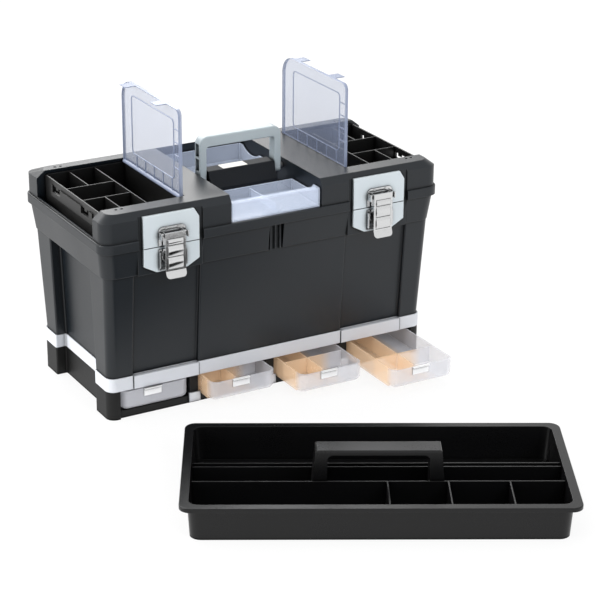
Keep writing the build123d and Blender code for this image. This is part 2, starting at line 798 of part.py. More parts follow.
def organiser():
    """Right-hand bin of the lid, with its dividers, its rail and the slots for the cover's clips."""
    low_x = bin_well_inner + bin_gap
    low_y = bin_well_front + bin_gap
    high_y = bin_well_back - bin_gap
    with BuildPart() as bin_part:
        block((low_x, low_y, bin_well_floor), (bin_outer, high_y, bin_top))
        block(
            (low_x + bin_wall, low_y + bin_wall, bin_well_floor + bin_wall),
            (bin_outer - bin_wall, high_y - bin_wall, bin_top),
            Mode.SUBTRACT,
        )
        block(
            (low_x, low_y + bin_wall, cover_axis_z - cover_barrel - cover_drop_gap),
            (low_x + bin_wall, high_y - bin_wall, bin_top),
            Mode.SUBTRACT,
        )
        divider_top = bin_top - bin_divider_drop
        half = bin_divider / 2
        block((bin_long_wall - half, low_y, bin_well_floor), (bin_long_wall + half, high_y, divider_top))
        for y in bin_cross_walls:
            block((bin_long_wall, y - half, bin_well_floor), (bin_outer, y + half, divider_top))
        for y_low, y_high in ((low_y, bin_cross_walls[0]), (bin_cross_walls[1], high_y)):
            block(
                (bin_short_wall - half, y_low, bin_well_floor),
                (bin_short_wall + half, y_high, divider_top),
            )
        block(
            (bin_outer - bin_wall, bin_rail_front, bin_rail_low),
            (bin_outer + bin_rail_proud, bin_rail_back, bin_rail_high),
        )
        slot_high = bin_rail_high - clip_slot_drop
        for y in clip_places:
            block(
                (bin_outer, y - clip_notch_width / 2, slot_high),
                (bin_outer + bin_rail_proud, y + clip_notch_width / 2, bin_rail_high),
                Mode.SUBTRACT,
            )
            block(
                (bin_outer - bin_wall, y - clip_notch_width / 2, slot_high - clip_slot_height),
                (bin_outer + bin_rail_proud, y + clip_notch_width / 2, slot_high),
                Mode.SUBTRACT,
            )
            block(
                (bin_outer - bin_wall, y - clip_hook_width / 2, slot_high - clip_hook_height),
                (bin_outer, y + clip_hook_width / 2, slot_high),
            )
    return bin_part.part


with BuildPart() as organiser_right:
    add(organiser())
organiser_right.part.label = "organiser_right"
export_step(organiser_right.part, "parts/organiser_right.step")

with BuildPart() as organiser_left:
    mirror(organiser(), about=Plane.YZ)
organiser_left.part.label = "organiser_left"
export_step(organiser_left.part, "parts/organiser_left.step")


def sided_block(side, low, high):
    """Block given for the right-hand side of the box, placed on either side."""
    x_from, x_to = sorted((side * low[0], side * high[0]))
    block((x_from, low[1], low[2]), (x_to, high[1], high[2]))


# Covers, standing open: plate, rim, border, ribs, barrel and two clips
for name, side in (("cover_left", -1), ("cover_right", 1)):
    face_x = cover_axis_x - cover_barrel
    back_x = face_x + cover_plate
    with BuildPart() as cover:
        with BuildSketch(Plane.YZ.offset(side * face_x)) as plate:
            with Locations((cover_front, cover_axis_z)):
                Rectangle(cover_back - cover_front, cover_reach, align=(Align.MIN, Align.MIN))
            top = plate.vertices().group_by(Axis.Y)[-1].sort_by(Axis.X)
            fillet(top[0], cover_corner_front)
            top = plate.vertices().group_by(Axis.Y)[-1].sort_by(Axis.X)
            fillet(top[-1], cover_corner_back)
        extrude(amount=side * (cover_plate + cover_lip))
        with BuildSketch(Plane.YZ.offset(side * back_x)) as pocket:
            with Locations((cover_front + cover_rib, cover_axis_z - cut_over)):
                Rectangle(
                    cover_back - cover_front - 2 * cover_rib,
                    cover_reach + cut_over - cover_rib,
                    align=(Align.MIN, Align.MIN),
                )
            top = pocket.vertices().group_by(Axis.Y)[-1].sort_by(Axis.X)
            fillet(top[0], cover_corner_front - cover_rib)
            top = pocket.vertices().group_by(Axis.Y)[-1].sort_by(Axis.X)
            fillet(top[-1], cover_corner_back - cover_rib)
        extrude(amount=side * cover_lip, mode=Mode.SUBTRACT)
        # raised border round the clear panel
        with BuildSketch(Plane.YZ.offset(side * back_x)):
            centre = (
                (cover_border_front + cover_border_back) / 2,
                (cover_border_low + cover_border_high) / 2,
            )
            width = cover_border_back - cover_border_front
            height = cover_border_high - cover_border_low
            with Locations(centre):
                RectangleRounded(width, height, cover_border_radius)
                RectangleRounded(
                    width - 2 * cover_rib,
                    height - 2 * cover_rib,
                    cover_border_radius - cover_rib,
                    mode=Mode.SUBTRACT,
                )
        extrude(amount=side * cover_lip / 2)
        for i in range(cover_low_ribs):
            rib_y = cover_border_front + cover_border_radius + i * cover_low_rib_pitch
            sided_block(
                side,
                (back_x, rib_y - cover_rib / 2, cover_axis_z + cover_barrel),
                (back_x + cover_lip / 2, rib_y + cover_rib / 2, cover_border_low + cover_rib),
            )
        for i in range(4):
            rib_z = cover_border_low + (i + 1) * cover_side_rib_pitch
            sided_block(
                side,
                (back_x, cover_front, rib_z - cover_rib / 2),
                (back_x + cover_lip / 2, cover_border_front + cover_rib, rib_z + cover_rib / 2),
            )
        for y in clip_places:
            sided_block(
                side,
                (back_x, y - cover_clip_width / 2, cover_top_z - cover_rib),
                (back_x + cover_clip_drop, y + cover_clip_width / 2, cover_top_z),
            )
        with Locations((side * cover_axis_x, (cover_front + cover_back) / 2, cover_axis_z)):
            Cylinder(cover_barrel, cover_back - cover_front, rotation=(90, 0, 0))
            Cylinder(
                cover_pin_radius + cover_pin_gap,
                cover_back - cover_front + cut_over,
                rotation=(90, 0, 0),
                mode=Mode.SUBTRACT,
            )
    cover.part.label = name
    export_step(cover.part, f"parts/{name}.step")

for name, side in (("cover_pin_left", -1), ("cover_pin_right", 1)):
    with BuildPart() as cover_pin:
        with Locations((side * cover_axis_x, (bin_well_front + bin_well_back) / 2, cover_axis_z)):
            Cylinder(
                cover_pin_radius,
                bin_well_back - bin_well_front + 2 * wall - cut_over,
                rotation=(90, 0, 0),
            )
    cover_pin.part.label = name
    export_step(cover_pin.part, f"parts/{name}.step")

# Console block between the handle's arms, hollow from below
with BuildPart() as console_block:
    with BuildSketch(Plane.YZ):
        with BuildLine():
            Polyline(
                (console_front, centre_well_floor),
                (console_front, console_slope_z),
                (console_slope_y, lid_top),
                (console_back, lid_top),
                (console_back, centre_well_floor),
                close=True,
            )
        make_face()
    extrude(amount=console_half, both=True)
    fillet(console_block.edges().filter_by(Axis.X).group_by(Axis.Z)[-1], console_edge)
    with BuildSketch(Plane.YZ):
        with BuildLine():
            Polyline(
                (console_front + wall, centre_well_floor),
                (console_front + wall, console_slope_z - cut_over),
                (console_slope_y + wall, lid_top - 2 * wall),
                (console_back - wall, lid_top - 2 * wall),
                (console_back - wall, centre_well_floor),
                close=True,
            )
        make_face()
    extrude(amount=console_half - wall, both=True, mode=Mode.SUBTRACT)
    with Locations((label_shift, label_y, lid_top - label_thickness)):
        Box(
            label_length + fit_gap,
            label_depth + fit_gap,
            2 * label_thickness,
            align=MIN_Z,
            mode=Mode.SUBTRACT,
        )
    rod(
        (0, handle_axis_y, handle_axis_z),
        handle_pin_radius + handle_pin_gap,
        2 * console_half + cut_over,
        Mode.SUBTRACT,
    )
console_block.part.label = "console_block"
export_step(console_block.part, "parts/console_block.step")

# Label in a shallow field on top of the console, left blank
with BuildPart() as console_label:
    with Locations((label_shift, label_y, lid_top - label_thickness)):
        Box(label_length, label_depth, label_thickness, align=MIN_Z)
    fillet(console_label.edges().filter_by(Axis.Z), label_round)
console_label.part.label = "console_label"
export_step(console_label.part, "parts/console_label.step")

# Carry handle: one bail with two arms, hollowed on the arms' outer sides
with BuildPart() as carry_handle:
    arm_low = handle_axis_z - handle_depth / 2
    front_plane = Plane.XZ.offset(-handle_axis_y - handle_depth / 2)
    with BuildSketch(front_plane) as bail_shape:
        with Locations((0, arm_low)):
            Rectangle(2 * handle_outer, handle_top - arm_low, align=(Align.CENTER, Align.MIN))
        fillet(bail_shape.vertices().group_by(Axis.Y)[-1], handle_outer_radius)
        with Locations((0, arm_low)):
            Rectangle(
                2 * (handle_outer - handle_arm),
                2 * (handle_top - handle_grip - arm_low),
                mode=Mode.SUBTRACT,
            )
        inner_corners = bail_shape.vertices().filter_by(
            lambda v: abs(v.X) < handle_outer - handle_arm + fit_gap and v.Y > handle_axis_z
        )
        fillet(inner_corners, handle_inner_radius)
    extrude(amount=handle_depth)
    fillet(
        carry_handle.edges()
        .filter_by(lambda e: max((e @ 0).Z, (e @ 1).Z) > arm_low + cut_over)
        .filter_by(Axis.Y, reverse=True),
        handle_edge,
    )
    # the arms are round at their lower ends, about the pivot
    with BuildSketch(Plane.YZ):
        with Locations((handle_axis_y, handle_axis_z)):
            Circle(handle_depth / 2)
            Rectangle(handle_depth, handle_top, align=(Align.CENTER, Align.MIN))
    extrude(amount=handle_outer, both=True, mode=Mode.INTERSECT)
    lower_pocket = handle_axis_z + handle_pocket_start
    lower_pocket_end = lower_pocket + handle_pocket_height
    upper_pocket = lower_pocket_end + handle_pocket_rib
    upper_pocket_end = handle_top - handle_pocket_start
    for side in (-1, 1):
        for low, high in ((lower_pocket, lower_pocket_end), (upper_pocket, upper_pocket_end)):
            with Locations((side * handle_outer, handle_axis_y, low)):
                Box(
                    2 * handle_pocket_depth,
                    handle_pocket_width,
                    high - low,
                    align=MIN_Z,
                    mode=Mode.SUBTRACT,
                )
    rod(
        (0, handle_axis_y, handle_axis_z),
        handle_pin_radius + 2 * handle_pin_gap,
        2 * handle_outer + cut_over,
        Mode.SUBTRACT,
    )
carry_handle.part.label = "carry_handle"
export_step(carry_handle.part, "parts/carry_handle.step")

with BuildPart() as handle_pins:
    pin_from = console_half - wall - handle_pin_stub
    pin_to = centre_well_half + wall
    for side in (-1, 1):
        rod(
            (side * (pin_from + pin_to) / 2, handle_axis_y, handle_axis_z),
            handle_pin_radius,
            pin_to - pin_from,
        )
handle_pins.part.label = "handle_pins"
export_step(handle_pins.part, "parts/handle_pins.step")

# Clear box at the front of the centre well, with a hood over its front edge
with BuildPart() as front_box:
    box_half = centre_well_half - tray_gap
    box_floor = centre_well_floor + clear_floor_gap
    with BuildSketch(Plane.YZ):
        with BuildLine():
            Polyline(
                (front_box_front, box_floor),
                (front_box_front, front_box_hood_top),
                (front_box_hood_back, front_box_hood_top),
                (front_box_hood_back + front_box_hood_slope, front_box_top),
                (front_box_back, front_box_top),
                (front_box_back, box_floor),
                close=True,
            )
        make_face()
    extrude(amount=box_half, both=True)
    fillet(front_box.edges().filter_by(Axis.X).group_by(Axis.Z)[-1], clear_edge)
    block(
        (-box_half + clear_wall, front_box_front + clear_wall, box_floor + clear_wall),
        (box_half - clear_wall, front_box_back - clear_wall, front_box_top),
        Mode.SUBTRACT,
    )
    block(
        (-box_half + clear_wall, front_box_hood_back - front_box_hood_slope, front_box_top),
        (box_half - clear_wall, front_box_back, front_box_hood_top),
        Mode.SUBTRACT,
    )
    block(
        (-box_half + clear_wall, front_box_front + clear_wall, front_box_top - cut_over),
        (
                box_half - clear_wall,
                front_box_hood_back - front_box_hood_slope,
                front_box_hood_top - clear_wall,
            ),
        Mode.SUBTRACT,
    )
    block(
        (-drawer_divider / 2, front_box_front + clear_wall, box_floor),
        (drawer_divider / 2, front_box_back - clear_wall, front_box_top - drawer_divider_drop),
    )
front_box.part.label = "front_box"
export_step(front_box.part, "parts/front_box.step")

# Clear box at the back, whose side walls dip in the middle
with BuildPart() as rear_box:
    with BuildSketch(Plane.YZ):
        with BuildLine():
            Polyline(
                (rear_box_back, rear_box_back_z),
                (rear_box_back, box_floor),
                (rear_box_front, box_floor),
                (rear_box_front, rear_box_front_z),
                (rear_box_dip_y - rear_box_dip_half, rear_box_front_z),
            )
            ThreePointArc(
                (rear_box_dip_y - rear_box_dip_half, rear_box_front_z),
                (rear_box_dip_y, rear_box_dip_z),
                (rear_box_dip_y + rear_box_dip_half, rear_box_back_z),
            )
            Line((rear_box_dip_y + rear_box_dip_half, rear_box_back_z), (rear_box_back, rear_box_back_z))
        make_face()
    extrude(amount=box_half, both=True)
    block(
        (-box_half + clear_wall, rear_box_front + clear_wall, box_floor + clear_wall),
        (box_half - clear_wall, rear_box_back - clear_wall, lid_top),
        Mode.SUBTRACT,
    )
rear_box.part.label = "rear_box"
export_step(rear_box.part, "parts/rear_box.step")


def latch_plate(centre_x, low, high, chamfer_bottom):
    """Plate moulding on the front: cut corners below on the tub, one cut corner above on the lid."""
    left = centre_x - plate_width / 2
    right = centre_x + plate_width / 2
    if chamfer_bottom:
        points = [
            (left, high),
            (right, high),
            (right, low + plate_bottom_cut_z),
            (right - plate_bottom_cut_x, low),
            (left + plate_bottom_cut_x, low),
            (left, low + plate_bottom_cut_z),
        ]
    else:
        points = [
            (left, low),
            (right, low),
            (right, high - plate_top_cut_z),
            (right - plate_top_cut_x, high),
            (left, high),
        ]
    with BuildPart() as plate:
        with BuildSketch(Plane.XZ.offset(-latch_bay_y)):
            with BuildLine():
                Polyline(*points, close=True)
            make_face()
        extrude(amount=plate_thickness)
        fillet(plate.faces().group_by(Axis.Y)[0].edges(), plate_edge)
    return plate


def rivet_holes(centre_x, places, face_y):
    """Holes for the rivets through a chrome part or a plate."""
    for dx, z in places:
        with Locations((centre_x + dx, face_y, z)):
            Cylinder(
                rivet_radius + screw_gap,
                4 * plate_thickness,
                rotation=(90, 0, 0),
                mode=Mode.SUBTRACT,
            )


for side_name, side in (("left", -1), ("right", 1)):
    centre_x = side * latch_x
    with BuildPart() as strike_plate:
        add(latch_plate(centre_x, strike_bottom, tub_rim_z - plate_gap, True).part)
        rivet_holes(centre_x, keeper_rivet_places, latch_bay_y)
    strike_plate.part.label = f"strike_plate_{side_name}"
    export_step(strike_plate.part, f"parts/strike_plate_{side_name}.step")

    with BuildPart() as upper_plate:
        add(latch_plate(centre_x, tub_rim_z + plate_gap, upper_plate_top, False).part)
        rivet_holes(centre_x, bracket_rivet_places, latch_bay_y)
    upper_plate.part.label = f"latch_plate_{side_name}"
    export_step(upper_plate.part, f"parts/latch_plate_{side_name}.step")

    # bracket on the lid, with an ear at each side of the lever
    with BuildPart() as latch_bracket:
        with BuildSketch(Plane.XZ.offset(-plate_face_y)) as frame_shape:
            with Locations((centre_x, frame_low)):
                Rectangle(frame_width, frame_top - frame_low, align=(Align.CENTER, Align.MIN))
            fillet(frame_shape.vertices().group_by(Axis.Y)[-1], frame_round)
        extrude(amount=chrome)
        for ear in (-1, 1):
            outer = centre_x + ear * frame_width / 2
            inner = outer - ear * chrome
            block(
                (min(outer, inner), plate_face_y - ear_reach, ear_low),
                (max(outer, inner), plate_face_y, frame_top - frame_round),
            )
        rod(
            (centre_x, lever_axis_y, lever_axis_z),
            lever_pin_radius + screw_gap,
            frame_width + cut_over,
            Mode.SUBTRACT,
        )
        rivet_holes(centre_x, bracket_rivet_places, plate_face_y)
    latch_bracket.part.label = f"latch_bracket_{side_name}"
    export_step(latch_bracket.part, f"parts/latch_bracket_{side_name}.step")

    with BuildPart() as latch_pin:
        rod((centre_x, lever_axis_y, lever_axis_z), lever_pin_radius, frame_width + 2 * rivet_head_height)
    latch_pin.part.label = f"latch_pin_{side_name}"
    export_step(latch_pin.part, f"parts/latch_pin_{side_name}.step")

    # lever: a sheet with folded sides, turned out at its tip
    with BuildPart() as latch_lever:
        sheet_y = lever_axis_y - lever_sheet_y
        sheet_back = sheet_y + chrome
        with BuildSketch(Plane.YZ.offset(centre_x)):
            with BuildLine():
                Polyline(
                    (sheet_y, lever_axis_z + lever_top_rise),
                    (sheet_back, lever_axis_z + lever_top_rise),
                    (sheet_back, lever_low),
                    (sheet_back - lever_tip_out, lever_tip_z),
                    (sheet_y - lever_tip_out, lever_tip_z),
                    (sheet_y, lever_low),
                    close=True,
                )
            make_face()
        extrude(amount=lever_width / 2, both=True)
        for flange in (-1, 1):
            outer = centre_x + flange * lever_width / 2
            inner = outer - flange * chrome
            block(
                (min(outer, inner), sheet_back, lever_flange_low),
                (max(outer, inner), lever_axis_y + lever_flange_back, lever_axis_z + lever_top_rise),
            )
        groove_half_length = lever_width / 2 - lever_groove_margin
        for rise in lever_grooves:
            z = tub_rim_z + rise
            block(
                (centre_x - groove_half_length, sheet_y - cut_over, z - lever_groove_half),
                (centre_x + groove_half_length, sheet_y + lever_groove, z + lever_groove_half),
                Mode.SUBTRACT,
            )
        with BuildSketch(Plane.XZ.offset(-lever_axis_y - lever_flange_back)) as lever_outline:
            with Locations((centre_x, lever_tip_z)):
                Rectangle(
                    lever_width,
                    lever_axis_z + lever_top_rise - lever_tip_z,
                    align=(Align.CENTER, Align.MIN),
                )
            fillet(lever_outline.vertices().group_by(Axis.Y)[0], lever_tip_radius)
        extrude(amount=2 * ear_reach, mode=Mode.INTERSECT)
        for axis_z, radius in ((lever_axis_z, lever_pin_radius), (bail_axis_z, bail_wire)):
            rod(
                (centre_x, lever_axis_y, axis_z),
                radius + screw_gap,
                lever_width + cut_over,
                Mode.SUBTRACT,
            )
    latch_lever.part.label = f"latch_lever_{side_name}"
    export_step(latch_lever.part, f"parts/latch_lever_{side_name}.step")

    # bail: one wire, with its pivot bar through the lever's sides
    with BuildPart() as latch_bail:
        with BuildLine() as wire:
            FilletPolyline(
                (centre_x - bail_half, lever_axis_y, bail_axis_z),
                (centre_x - bail_half, lever_axis_y, bail_low),
                (centre_x + bail_half, lever_axis_y, bail_low),
                (centre_x + bail_half, lever_axis_y, bail_axis_z),
                radius=bail_corner,
            )
        with BuildSketch(Plane.XY.offset(bail_axis_z)):
            with Locations((centre_x - bail_half, lever_axis_y)):
                Circle(bail_wire)
        sweep(path=wire.line)
        rod((centre_x, lever_axis_y, bail_axis_z), bail_wire, lever_width)
    latch_bail.part.label = f"latch_bail_{side_name}"
    export_step(latch_bail.part, f"parts/latch_bail_{side_name}.step")

    # keeper on the tub, with the lip that the bail pulls on
    with BuildPart() as keeper:
        block(
            (centre_x - frame_width / 2, plate_face_y - chrome, keeper_low),
            (centre_x + frame_width / 2, plate_face_y, keeper_high),
        )
        for edge in (-1, 1):
            outer = centre_x + edge * frame_width / 2
            inner = outer - edge * chrome
            block(
                (min(outer, inner), plate_face_y - ear_reach / 2, keeper_low + keeper_ear_margin),
                (max(outer, inner), plate_face_y, keeper_high - keeper_ear_margin),
            )
        block(
            (centre_x - keeper_lip_half, keeper_lip_y, keeper_lip_high - chrome),
            (centre_x + keeper_lip_half, plate_face_y - chrome, keeper_lip_high),
        )
        block(
            (centre_x - keeper_lip_half, keeper_lip_y, keeper_lip_low),
            (centre_x + keeper_lip_half, keeper_lip_y + chrome, keeper_lip_high),
        )
        rivet_holes(centre_x, keeper_rivet_places, plate_face_y)
    keeper.part.label = f"keeper_{side_name}"
    export_step(keeper.part, f"parts/keeper_{side_name}.step")

# Rivets of the brackets on the lid and of the keepers on the tub
for name, places in (("bracket_rivets", bracket_rivet_places), ("keeper_rivets", keeper_rivet_places)):
    with BuildPart() as rivets:
        for centre_x in (-latch_x, latch_x):
            for dx, z in places:
                head = Plane.XZ.offset(-plate_face_y + chrome)
                with BuildSketch(head):
                    with Locations((centre_x + dx, z)):
                        Circle(rivet_head_radius)
                extrude(amount=rivet_head_height)
                with BuildSketch(head):
                    with Locations((centre_x + dx, z)):
                        Circle(rivet_radius)
                extrude(amount=-(chrome + plate_thickness))
    rivets.part.label = name
    export_step(rivets.part, f"parts/{name}.step")

def drawer_front(x, y, width, low_z, high_z, corner, foot):
    """Front end of a drawer, with round upright corners and a round foot."""
    with BuildPart() as front:
        with BuildSketch(Plane.XY.offset(low_z)) as shape:
            with Locations((x, y)):
                Rectangle(width, drawer_front_depth, align=(Align.CENTER, Align.MIN))
            fillet(shape.vertices().group_by(Axis.Y)[0], corner)
        extrude(amount=high_z - low_z)
        fillet(front.edges().group_by(Axis.Z)[0].sort_by(Axis.Y)[:-1], foot)
    return front.part


def front_divider(x, y, width, low_z, high_z):
    """Lengthwise divider of a drawer's front end, shaped to the round foot."""
    with BuildPart() as divider:
        block(
            (x + drawer_divider_shift - drawer_divider / 2, y + drawer_wall / 2, low_z),
            (
                x + drawer_divider_shift + drawer_divider / 2,
                y + drawer_front_depth,
                high_z - drawer_divider_drop,
            ),
        )
        add(
            drawer_front(x, y, width, low_z, high_z, drawer_corner, drawer_foot_radius),
            mode=Mode.INTERSECT,
        )
    return divider.part


# Four drawers, each pulled out by its own amount, and their white pulls
for number, (bay_x, out) in enumerate(zip(bay_centres, drawer_pulls_out), start=1):
    face_y = front_y - out
    body_y = face_y + drawer_front_depth
    floor_z = bay_floor + drawer_gap
    rim_z = floor_z + drawer_height
    with BuildPart() as drawer:
        add(
            drawer_front(
                bay_x,
                face_y,
                drawer_front_width,
                floor_z,
                rim_z,
                drawer_corner,
                drawer_foot_radius,
            )
        )
        fillet(drawer.faces().sort_by(Axis.Z)[-1].edges().group_by(Axis.Y)[0], drawer_rim_round)
        block(
            (bay_x - drawer_width / 2, body_y, floor_z),
            (bay_x + drawer_width / 2, face_y + drawer_length, rim_z),
        )
        inner_half = drawer_width / 2 - drawer_wall
        add(
            drawer_front(
                bay_x,
                face_y + drawer_wall,
                2 * inner_half,
                floor_z + drawer_wall,
                rim_z + drawer_foot_radius,
                drawer_corner - drawer_wall,
                drawer_foot_radius - drawer_wall,
            ),
            mode=Mode.SUBTRACT,
        )
        block(
            (bay_x - inner_half, body_y, floor_z + drawer_wall),
            (bay_x + inner_half, face_y + drawer_length - drawer_wall, rim_z),
            Mode.SUBTRACT,
        )
        add(front_divider(bay_x, face_y, drawer_front_width, floor_z, rim_z))
        divider_x = bay_x + drawer_divider_shift
        block(
            (divider_x - drawer_divider / 2, body_y, floor_z),
            (
                divider_x + drawer_divider / 2,
                face_y + drawer_length - cut_over,
                rim_z - drawer_divider_drop,
            ),
        )
        cross_y = face_y + drawer_cross_wall
        block(
            (bay_x - drawer_width / 2 + cut_over, cross_y, floor_z),
            (
                bay_x + drawer_width / 2 - cut_over,
                cross_y + drawer_divider,
                rim_z - drawer_divider_drop,
            ),
        )
    drawer.part.label = f"drawer_{number}"
    export_step(drawer.part, f"parts/drawer_{number}.step")

    with BuildPart() as drawer_pull:
        pull_x = bay_x + pull_shift
        pull_top = rim_z + pull_top_gap
        block(
            (pull_x - pull_width / 2, face_y - pull_thickness, pull_top - pull_height),
            (pull_x + pull_width / 2, face_y, pull_top),
        )
        block(
            (pull_x - pull_width / 2, face_y - pull_lip, pull_top - pull_thickness),
            (pull_x + pull_width / 2, face_y, pull_top),
        )
        fillet(drawer_pull.edges().filter_by(Axis.Z).group_by(Axis.Y)[0], pull_round)
    drawer_pull.part.label = f"drawer_pull_{number}"
    export_step(drawer_pull.part, f"parts/drawer_pull_{number}.step")

# Tote tray: body with a wide rim, long and short dividers and an arched grip
with BuildPart() as tote_tray:
    body_length = tray_length - 2 * tray_rim_width
    body_depth = tray_depth - 2 * tray_rim_width
    with BuildSketch(tray_plane):
        RectangleRounded(body_length - 2 * tray_taper, body_depth - 2 * tray_taper, tray_corner)
    with BuildSketch(tray_plane.offset(tray_height)):
        RectangleRounded(body_length, body_depth, tray_corner)
    loft(ruled=True)
    with BuildSketch(tray_plane.offset(tray_height - tray_rim_height)):
        RectangleRounded(tray_length, tray_depth, tray_corner)
    extrude(amount=tray_rim_height)
    fillet(tote_tray.edges().group_by(Axis.Z)[-1], tray_rim_round)
    # the underside of the rim is hollow
    with BuildSketch(tray_plane.offset(tray_height - tray_rim_height)):
        RectangleRounded(
            tray_length - 2 * tray_rim_lip,
            tray_depth - 2 * tray_rim_lip,
            tray_corner - tray_rim_lip,
        )
        RectangleRounded(body_length, body_depth, tray_corner, mode=Mode.SUBTRACT)
    extrude(amount=tray_rim_height - tray_rim_lip, mode=Mode.SUBTRACT)
    with BuildSketch(tray_plane.offset(tray_wall)):
        RectangleRounded(
            body_length - 2 * tray_taper - 2 * tray_wall,
            body_depth - 2 * tray_taper - 2 * tray_wall,
            tray_corner - tray_wall,
        )
    with BuildSketch(tray_plane.offset(tray_height)):
        RectangleRounded(
            body_length - 2 * tray_wall,
            body_depth - 2 * tray_wall,
            tray_corner - tray_wall,
        )
    loft(ruled=True, mode=Mode.SUBTRACT)
    # the grip's arch first, so that the long dividers run on through its window
    with BuildSketch(tray_plane.offset(tray_wall / 2)):
        with Locations((0, grip_y)):
            Rectangle(grip_base_length, grip_base_depth)
    with BuildSketch(tray_plane.offset(grip_top)):
        with Locations((0, grip_y)):
            Rectangle(grip_top_length, grip_top_depth)
    loft(ruled=True)
    fillet(tote_tray.faces().group_by(Axis.Z)[-1].edges(), grip_edge)
    window_plane = Plane(
        origin=tray_plane.from_local_coords(Vector(0, grip_y + grip_base_depth / 2 + cut_over, 0)),
        x_dir=tray_plane.x_dir,
        z_dir=-tray_plane.y_dir,
    )
    with BuildSketch(window_plane) as window:
        with Locations((0, tray_wall)):
            Rectangle(grip_window_length, grip_window_top - tray_wall, align=(Align.CENTER, Align.MIN))
        fillet(window.vertices().group_by(Axis.Y)[-1], grip_window_radius)
    extrude(amount=grip_base_depth + 2 * cut_over, mode=Mode.SUBTRACT)
    inner_length = body_length - 2 * tray_wall - tray_taper
    inner_depth = body_depth - 2 * tray_wall - tray_taper
    with BuildSketch(tray_plane.offset(tray_wall / 2)):
        for y in tray_walls_y:
            with Locations((0, y)):
                Rectangle(inner_length, tray_divider)
        for x in tray_cross_x:
            with Locations((x, (tray_walls_y[0] - inner_depth / 2) / 2)):
                Rectangle(tray_divider, inner_depth / 2 + tray_walls_y[0])
    extrude(amount=tray_divider_height - tray_wall / 2)
tote_tray.part.label = "tote_tray"
export_step(tote_tray.part, "parts/tote_tray.step")
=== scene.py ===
# %% [markdown]
# A toolbox with organisers, standing open in a white studio. The shapes come packed from the
# CAD side, one mesh to each moulding, wire or pin. This script gives each of them its finish,
# adds the small pressed and moulded detail that the solids leave out, and sets the studio up.

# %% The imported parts
import json
import math
import bpy
from mathutils import Matrix, Vector


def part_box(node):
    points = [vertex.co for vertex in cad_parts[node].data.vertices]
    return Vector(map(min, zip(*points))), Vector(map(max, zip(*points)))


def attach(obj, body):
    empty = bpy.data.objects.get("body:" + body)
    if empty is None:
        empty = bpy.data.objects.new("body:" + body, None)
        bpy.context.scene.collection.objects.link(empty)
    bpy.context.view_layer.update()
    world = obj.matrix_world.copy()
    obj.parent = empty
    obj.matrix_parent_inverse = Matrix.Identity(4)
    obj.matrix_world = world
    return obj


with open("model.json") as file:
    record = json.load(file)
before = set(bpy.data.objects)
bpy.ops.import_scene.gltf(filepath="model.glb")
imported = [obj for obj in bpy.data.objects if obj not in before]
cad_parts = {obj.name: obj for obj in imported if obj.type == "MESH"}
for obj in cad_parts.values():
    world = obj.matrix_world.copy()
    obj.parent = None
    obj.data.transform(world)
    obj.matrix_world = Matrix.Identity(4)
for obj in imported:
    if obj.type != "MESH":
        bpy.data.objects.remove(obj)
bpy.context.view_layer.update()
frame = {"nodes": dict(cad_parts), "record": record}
nodes = frame["nodes"]
scene = bpy.context.scene

# %% [markdown]
# The camera first, so that every later choice can be judged in the right frame. It could be
# placed by eye, but its place was worked out from the straight edges of the box: it looks
# down at the front from the left, through a long lens that hardly narrows the far end.

# %% Camera
look_azimuth = math.radians(-30.09)
look_elevation = math.radians(22.54)
look_roll = math.radians(0.55)
look_at = Vector((0.13795, 0.0, 0.05872))
look_distance = 3.3282
focal_pixels = 2026.3
frame_pixels = 616.0
sensor_mm = 36.0

forward = Vector((
    -math.sin(look_azimuth) * math.cos(look_elevation),
    math.cos(look_azimuth) * math.cos(look_elevation),
    -math.sin(look_elevation),
))
level_right = Vector((math.cos(look_azimuth), math.sin(look_azimuth), 0.0))
level_up = level_right.cross(forward)
camera_right = level_right * math.cos(look_roll) + level_up * math.sin(look_roll)
camera_up = camera_right.cross(forward)
camera_place = look_at - forward * look_distance

camera_data = bpy.data.cameras.new("studio_camera")
camera_data.sensor_width = sensor_mm
camera_data.lens = sensor_mm * focal_pixels / frame_pixels
camera_data.clip_end = 50.0
camera = bpy.data.objects.new("studio_camera", camera_data)
scene.collection.objects.link(camera)
turned = Matrix((camera_right, camera_up, -forward)).transposed().to_4x4()
camera.matrix_world = Matrix.Translation(camera_place) @ turned
scene.camera = camera
print("lens", round(camera_data.lens, 2), "mm")

# %% [markdown]
# A material is a small sum over the surface: a colour, plus some noise, times a mask. Nodes
# can be wired by hand for that, but plain arithmetic is easier to read. Wire stands for one
# output socket and turns + - * into Math nodes. Recipe adds every other kind of node.

# %% Arithmetic on sockets
class Wire:
    """One output socket, on which plain arithmetic adds Math nodes."""

    def __init__(self, recipe, socket):
        self.recipe = recipe
        self.socket = socket

    def sum_with(self, operation, first, second):
        return self.recipe.node("ShaderNodeMath", {"operation": operation}, {0: first, 1: second})

    def __add__(self, other):
        return self.sum_with("ADD", self, other)

    def __radd__(self, other):
        return self.sum_with("ADD", other, self)

    def __sub__(self, other):
        return self.sum_with("SUBTRACT", self, other)

    def __rsub__(self, other):
        return self.sum_with("SUBTRACT", other, self)

    def __mul__(self, other):
        return self.sum_with("MULTIPLY", self, other)

    def __rmul__(self, other):
        return self.sum_with("MULTIPLY", other, self)

    def above(self, other):
        return self.sum_with("GREATER_THAN", self, other)

    def limited(self):
        return self.recipe.node("ShaderNodeClamp", {}, {"Value": self})

    def size(self):
        return self.recipe.node("ShaderNodeMath", {"operation": "ABSOLUTE"}, {0: self})

    def ramp(self, low, high):
        """0 at low, 1 at high and straight between them."""
        return self.recipe.node(
            "ShaderNodeMapRange",
            {"clamp": True},
            {"Value": self, "From Min": low, "From Max": high, "To Min": 0.0, "To Max": 1.0},
        )


